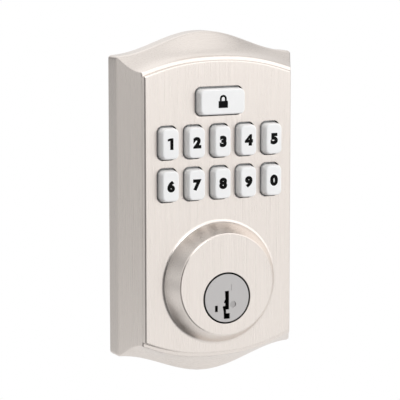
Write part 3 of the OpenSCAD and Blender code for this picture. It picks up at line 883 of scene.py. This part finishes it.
def make_plug_metal():
    """Satin nickel on the plug's face, darkened by painted shade and rougher down in the keyway.
    """
    mat, tree, shader = new_material("plug_nickel", PLUG_FACE, PLUG_ROUGHNESS, 1.0)
    grain = use_group(tree, SPECKLE, Scale=4200.0).outputs["Height"]
    place = tree.nodes.new("ShaderNodeTexCoord")
    parts = tree.nodes.new("ShaderNodeSeparateXYZ")
    tree.links.new(place.outputs["Object"], parts.inputs["Vector"])
    # Painted shade, darkening the keyway's walls from a little below the face
    keyway_shade = map_range(
        tree, parts.outputs["Y"],
        -(BOSS_FRONT - KEYWAY_SHADE_START) * MM, -(BOSS_FRONT - KEYWAY_SHADE_FULL) * MM,
    )
    face = between_shades(tree, grain, shade(PLUG_FACE, 0.93), shade(PLUG_FACE, 1.05))
    colour = mix_colours(tree, keyway_shade, face, KEYWAY_PAINTED_SHADE)
    tree.links.new(colour, shader.inputs["Base Color"])
    vary(tree, shader, keyway_shade, "Roughness", PLUG_ROUGHNESS, KEYWAY_ROUGHNESS, 0, 1)
    bump(tree, shader, grain, 0.004)
    return mat


PIN_COUNT = 5
FINISHES = {
    "door_gasket": moulded(
        "gasket_foam", (0.02, 0.02, 0.02), 0.9, scale=3000.0, relief=0.06, variation=0.3
    ),
    "keypad_frame": moulded("frame_plastic", (0.012, 0.012, 0.013), 0.6),
    "dome_mat": moulded("mat_silicone", (0.50, 0.53, 0.56), 0.5, relief=0.004),
    "circuit_board": moulded(
        "board_mask", (0.012, 0.10, 0.045), 0.35, scale=1200.0, relief=0.01, variation=0.15
    ),
    "contact_pads": moulded("gold_plate", (0.80, 0.56, 0.20), 0.25, metallic=1.0, relief=0.002),
    "backlight_leds": moulded("led_resin", (0.85, 0.80, 0.50), 0.2, relief=0.002),
    "controller_chip": moulded("chip_resin", (0.02, 0.02, 0.02), 0.55, relief=0.006),
    "board_parts": moulded("chip_ceramic", (0.26, 0.17, 0.10), 0.4, relief=0.004),
    "cable_socket": moulded("socket_nylon", (0.72, 0.68, 0.52), 0.5, relief=0.006),
    "rear_cover": moulded(
        "back_plastic", (0.018, 0.018, 0.02), 0.55, scale=1800.0, relief=0.03, variation=0.15
    ),
    "cable_grommet": moulded(
        "grommet_rubber", (0.015, 0.015, 0.015), 0.8, relief=0.01, variation=0.2
    ),
    "bore_ring": moulded(
        "ring_nylon", (0.03, 0.03, 0.033), 0.5, scale=2200.0, relief=0.02, variation=0.15
    ),
    "plug_seal": moulded(
        "seal_rubber", (0.002, 0.002, 0.002), 0.7, relief=0.004, variation=0.2,
        Specular_IOR_Level=0.15,
    ),
    "cylinder_body": moulded(
        "cast_zinc", (0.56, 0.53, 0.49), 0.42, scale=1500.0, relief=0.03, metallic=1.0
    ),
    "tailpiece_cap": moulded(
        "cap_zinc", (0.50, 0.49, 0.48), 0.4, scale=1500.0, relief=0.02, metallic=1.0
    ),
    "plug_clip": brushed("clip_steel", (0.42, 0.42, 0.43), 0.35),
    "tailpiece": brushed("blade_steel", (0.52, 0.51, 0.49), 0.32),
    "board_screws": brushed("screw_steel", (0.62, 0.62, 0.60), 0.28, relief=0.002),
    "spring_cover": moulded("tumbler_brass", (0.72, 0.50, 0.20), 0.35, relief=0.004, metallic=1.0),
    "sidebar_springs": moulded("spring_wire", (0.60, 0.60, 0.60), 0.3, relief=0.002, metallic=1.0),
    "plug": make_plug_metal(),
}
FINISHES["cylinder_screws"] = FINISHES["board_screws"]
FINISHES["sidebar"] = FINISHES["spring_cover"]
FINISHES["pin_springs"] = FINISHES["sidebar_springs"]
for number in range(1, PIN_COUNT + 1):
    FINISHES[f"pin_{number}"] = FINISHES["spring_cover"]

# Nodes whose faces show as they are, with no bevel
UNBEVELLED = ("door_gasket", "pin_springs", "sidebar_springs", "tailpiece_cap")
NODE_BEVEL = 0.12


def paint(obj, mat):
    if obj.data.materials:
        for k in range(len(obj.data.materials)):
            obj.data.materials[k] = mat
    else:
        obj.data.materials.append(mat)


# ---------- Assembly ----------

cover = make_cover()
paint(cover, NICKEL)
# The walls of the windows take the painted shade
cover.data.materials.append(WINDOW_PAINTED_SHADE)
for face in cover.data.polygons:
    if in_window(face.center / MM, face.normal):
        face.material_index = 1
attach(cover, "housing")
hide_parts("escutcheon")

for i in range(KEY_COUNT):
    cap = make_key(i)
    paint(cap, KEY_WHITE)
    mark = make_padlock() if i == LOCK_KEY else make_numeral(i)
    paint(mark, INK)
    body = "lock_key" if i == LOCK_KEY else f"digit_{DIGITS[i]}_key"
    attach(cap, body)
    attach(mark, body)
    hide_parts("key_lock" if i == 10 else f"key_{DIGITS[i]}")

for name, mat in FINISHES.items():
    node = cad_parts[name]
    paint(node, mat)
    if name not in UNBEVELLED:
        add_modifier(node, "WELD", merge_threshold=0.001 * MM)
        add_modifier(node, "DECIMATE", decimate_type="DISSOLVE", angle_limit=math.radians(0.5))
        add_modifier(
            node, "BEVEL", width=NODE_BEVEL * MM, segments=2, limit_method="ANGLE",
            angle_limit=math.radians(40), harden_normals=False,
        )


# ---------- Studio ----------

# Lengths from here on are in metres
FLOOR_SIZE, FLOOR_LEVEL = 12, -0.12
# The floor's shade: (towards, where it starts, where it is full, level before, level after)
SHADE_BEHIND = ((-0.43, 0.90, 0), 0.05, 0.5, 0.92, 0.6)
SHADE_LEFT = ((-0.66, -0.75, 0), 0.66, 0.98, 1.0, 0.12)

ROOM_LEVEL = 0.40
# Broad soft glows on the room's dim walls, and dark screens where the gain is below nought:
# (towards, how near to that the glow starts, how near it is full, gain)
GLOWS = [
    ((0.60, -0.78, -0.14), 0.26, 0.97, 1.26),
    ((-0.98, 0.19, -0.14), 0.75, 1.00, 0.46),
    ((-0.43, 0.90, -0.14), 0.60, 1.00, -0.22),
    ((0.30, 0.88, 0.35), 0.60, 1.00, 0.42),
    ((-0.10, 0.36, 0.93), 0.45, 1.00, 0.56),
    ((0.43, -0.36, 0.83), 0.78, 1.00, 0.42),
    ((-0.62, -0.77, -0.12), 0.58, 1.00, -0.42),
]

LAMP_SIZE, LAMP_POWER = 0.6, 3.3
LAMP_PLACE, LAMP_TARGET = (-0.25, -0.75, 0.7), (0.02, 0, 0)
CAMERA_PLACE, CAMERA_TARGET = (-0.33331, -0.70143, 0.14168), (0, -0.010, 0.032)
LENS, SHIFT_X, SHIFT_Y = 190.9, -0.0203, 0.0121


def falloff(tree, place, towards, start, full, before, after):
    """A value that eases from one level to another as a place nears a direction."""
    near = vector_math(tree, "DOT_PRODUCT", place, towards)
    return map_range(tree, near, start, full, before, after, eased=True)


def make_floor():
    """A pale floor that the camera sees as white, in shade on the lock's left."""
    bpy.ops.object.select_all(action="DESELECT")
    bpy.ops.mesh.primitive_plane_add(size=FLOOR_SIZE, location=(0, 0, FLOOR_LEVEL))
    plane = bpy.context.object
    plane.name = "floor"
    mat, tree, shader = new_material("pale_floor", (0.86, 0.86, 0.86), 0.8)
    place = tree.nodes.new("ShaderNodeTexCoord").outputs["Object"]
    # Some shade behind the lock's left side
    behind = falloff(tree, place, *SHADE_BEHIND)
    # and deep shade in front on the left, which gives the rounded edges a dark line
    flat = vector_math(tree, "MULTIPLY", place, (1, 1, 0))
    bearing = vector_math(tree, "NORMALIZE", flat)
    left = falloff(tree, bearing, *SHADE_LEFT)
    shaded = math_node(tree, "MULTIPLY", behind, left)
    tree.links.new(shaded, shader.inputs["Base Color"])
    white = tree.nodes.new("ShaderNodeEmission")
    ray = tree.nodes.new("ShaderNodeLightPath")
    pick = tree.nodes.new("ShaderNodeMixShader")
    tree.links.new(ray.outputs["Is Camera Ray"], pick.inputs["Fac"])
    tree.links.new(shader.outputs["BSDF"], pick.inputs[1])
    tree.links.new(white.outputs["Emission"], pick.inputs[2])
    tree.links.new(pick.outputs["Shader"], tree.nodes["Material Output"].inputs["Surface"])
    paint(plane, mat)
    return plane


def light_room():
    """Lights the room from its walls. The camera sees them as white."""
    world = bpy.data.worlds.new("studio")
    bpy.context.scene.world = world
    world.use_nodes = True
    tree = world.node_tree
    around = tree.nodes.new("ShaderNodeTexCoord").outputs["Generated"]
    level = ROOM_LEVEL
    for towards, start, full, gain in GLOWS:
        glow = falloff(tree, around, Vector(towards).normalized(), start, full, 0, gain)
        level = math_node(tree, "ADD", glow, level)
    ray = tree.nodes.new("ShaderNodeLightPath")
    seen = math_node(tree, "MAXIMUM", ray.outputs["Is Camera Ray"], level)
    background = tree.nodes["Background"]
    tree.links.new(seen, background.inputs["Strength"])
    socket(background, "Color", (1, 1, 1, 1))


def set_up(name, data, place, target):
    """Puts a lamp or a camera in its place and aims it."""
    obj = bpy.data.objects.new(name, data)
    bpy.context.scene.collection.objects.link(obj)
    obj.location = place
    obj.rotation_euler = (Vector(target) - obj.location).to_track_quat("-Z", "Y").to_euler()
    return obj


floor = make_floor()
light_room()

lamp = bpy.data.lights.new("overhead_softbox", "AREA")
lamp.size = LAMP_SIZE
lamp.energy = LAMP_POWER
set_up("overhead_softbox", lamp, LAMP_PLACE, LAMP_TARGET)

camera = bpy.data.cameras.new("camera")
camera.sensor_width = 36
camera.lens = LENS
camera.shift_x = SHIFT_X
camera.shift_y = SHIFT_Y
camera.clip_start = 0.01
camera.clip_end = 20
bpy.context.scene.camera = set_up("camera", camera, CAMERA_PLACE, CAMERA_TARGET)
bpy.context.scene.view_settings.view_transform = "Standard"
